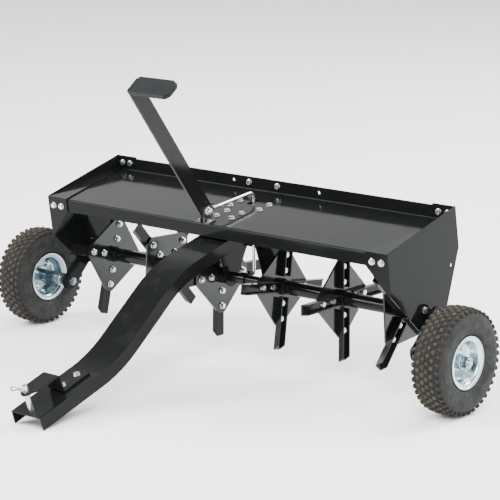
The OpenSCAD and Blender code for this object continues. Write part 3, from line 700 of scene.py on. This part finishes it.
rubber = dusty_rubber("dusty_rubber", DUSTY_R, CARCASS_R)
for name, side in (("left", -1), ("right", 1)):
    wheel_middle = Matrix.Translation(joints[f"wheel_{name}_spin"]["pos_m"])
    tyre(name, side, wheel_middle)
    rim_half("rim_outer_" + name, side, rim_zinc, wheel_middle)
    # The inner halves take the darker zinc, which is painted shade
    rim_half("rim_inner_" + name, -side, shaded_inner_zinc, wheel_middle)


# Hitch clip

BOW_STEPS = 10
WIRE_STEPS = 12
# The clip's two legs, in millimetres from the start of the bow: along the straight leg, across it
STRAIGHT_LEG = [(44, 0), (33, 0), (22, 0), (11, 0)]
WAVED_LEG = [
    (6, -13.4), (13, -9.5), (19, -5.4), (23, -4.2), (26, -5.2), (29, -7.4), (34, -8.4), (39, -8.1),
    (42.5, -8), (45.5, -9.2), (47.5, -11.8),
]


def hairpin():
    """The clip as a bent wire: a straight leg through the pin, a bow, and a leg that waves round it."""
    pin_way = Vector(hitch_up)
    clip_axes = Matrix((ALONG_X, pin_way.cross(ALONG_X), pin_way)).transposed()
    to_clip = clip_axes.inverted()
    points = np.array([to_clip @ v.co for v in nodes["hitch_clip"].data.vertices]) / MM
    low, high = points.min(0).tolist(), points.max(0).tolist()
    wire = (high[2] - low[2]) / 2
    bow = (high[1] - low[1]) / 4 - wire / 2
    start = Vector((low[0] + wire + bow, high[1] - wire, (low[2] + high[2]) / 2))
    bow_angles = [math.pi * i / BOW_STEPS for i in range(BOW_STEPS + 1)]
    bow_path = [(-bow * math.sin(a), -bow * (1 - math.cos(a))) for a in bow_angles]
    path = STRAIGHT_LEG + bow_path + WAVED_LEG
    way = smooth_way([start + Vector((x, y, 0)) for x, y in path])
    bm = bmesh.new()
    to_world = Matrix.Scale(MM, 4) @ clip_axes.to_4x4()
    rings = []
    for i, middle in enumerate(way):
        ahead = (way[min(i + 1, len(way) - 1)] - way[max(i - 1, 0)]).normalized()
        place = to_world @ axes_at(ALONG_Z.cross(ahead), ALONG_Z, ahead, middle)
        rings.append(ring(bm, circle(place, wire, 0, WIRE_STEPS)))
    capped(bm, rings)
    piece("hitch_clip_bent", bm, spring_steel, "hitch_clip")


hairpin()


# Sheet metal, bars, shaft and stars, with their edges eased


def is_bar_shoulder(edge):
    """An edge between the top of the tow bar and one of its sides."""
    levelled = [pitched.transposed() @ face.normal for face in edge.link_faces]
    return max(n.z for n in levelled) > 0.6 and max(abs(n.x) for n in levelled) > 0.9


eased("tray", tray_black, 0.5)
eased("tow_bar", frame_black, 0.8, is_bar_shoulder, 3.4, 4)
for node in ("bar_saddle", "center_hanger", "hitch_strap"):
    eased(node, frame_black, 0.9)
for name in ("left", "right"):
    eased("end_panel_" + name, frame_black, 0.8)
    eased("wheel_arm_" + name, frame_black, 0.8)
    eased("bearing_" + name, shaft_black, 0.8)
    eased("hub_" + name, hub_zinc, 0.8)
    eased("axle_bolt_" + name, hub_zinc, 0.8)
eased("lever_bracket", bracket_steel, 0.8)
eased("lever", lever_black, 0.9)
eased("lever_grip", grip_vinyl, 1.2)
eased("lift_rod", bolt_zinc, 0.5)
eased("hitch_pin", bolt_zinc, 1.0)
eased("shaft_bolts", bolt_zinc, 0.5)
for node in ("cross_shaft", "shaft_crank", "shaft_spacers"):
    eased(node, shaft_black, 0.8)
for number in range(1, 7):
    eased(f"star_plate_{number}", star_black, 0.8)
    eased(f"star_tines_{number}", tine_black, 0.8)


# Floor and light, in metres and watts

FLOOR_REACH = 30
LIT_POINT = Vector((0, 0.2, 0.2))
# A studio that is bright round the walls and dark overhead: height of the direction, brightness
WALLS = [(0.0, 1.25), (0.42, 0.88), (0.62, 0.6), (0.74, 0.26), (0.8, 0.2), (0.9, 0.4), (1.0, 3.2)]
WALL_STRENGTH = 1.7

bm = bmesh.new()
bmesh.ops.create_grid(bm, x_segments=2, y_segments=2, size=FLOOR_REACH)
floor_mesh = bpy.data.meshes.new("floor")
bm.to_mesh(floor_mesh)
bm.free()
floor_mesh.materials.append(pale_floor("pale_floor"))
floor = bpy.data.objects.new("floor", floor_mesh)
bpy.context.scene.collection.objects.link(floor)

studio = bpy.data.worlds.new("studio")
walls = Paint(studio)
height = walls.part(walls.node("ShaderNodeTexCoord", out="Generated"), "Z")
greys = [(place, (bright,) * 3) for place, bright in WALLS]
glow = walls.node("ShaderNodeValToRGB", {"stops": greys}, {0: height})
shine = walls.node("ShaderNodeBackground", None, {"Color": glow, "Strength": WALL_STRENGTH})
walls.node("ShaderNodeOutputWorld", None, {"Surface": shine})
bpy.context.scene.world = studio


def set_up(made, place, target):
    """Puts a light or the camera in the scene, looking from its place to a point."""
    made.location = place
    made.rotation_euler = (target - made.location).to_track_quat("-Z", "Y").to_euler()
    bpy.context.scene.collection.objects.link(made)


def soft_box(name, place, width, depth, power):
    """A broad, flat light that faces the machine."""
    light = bpy.data.lights.new(name, "AREA")
    light.shape = "RECTANGLE"
    light.size = width
    light.size_y = depth
    light.energy = power
    set_up(bpy.data.objects.new(name, light), place, LIT_POINT)


soft_box("key_box", (3.4, -3.0, 4.2), 3.5, 3.5, 600)
soft_box("fill_box", (-3.6, -3.2, 4.0), 3.5, 3.5, 600)
soft_box("back_box", (1.6, 4.6, 4.6), 4.0, 3.0, 800)


# Camera, as the photo was taken: it looks at a point over the axle

PICTURE_PX = 500
FOCAL_PX = 2202.5
SENSOR = 36
AZIMUTH = math.radians(40.26)
ELEVATION = math.radians(12.39)
DISTANCE = 5.25534
axle_y = joints["wheel_right_spin"]["pos_m"][1]
looked_at = Vector((0.0570, axle_y, 0.29198))

camera_data = bpy.data.cameras.new("camera")
camera_data.sensor_width = SENSOR
camera_data.lens = SENSOR * FOCAL_PX / PICTURE_PX
camera_data.clip_end = 100
camera = bpy.data.objects.new("camera", camera_data)
level_share = math.cos(ELEVATION)
camera_way = Vector((
    math.sin(AZIMUTH) * level_share, -math.cos(AZIMUTH) * level_share, math.sin(ELEVATION),
))
set_up(camera, looked_at + DISTANCE * camera_way, looked_at)
bpy.context.scene.camera = camera
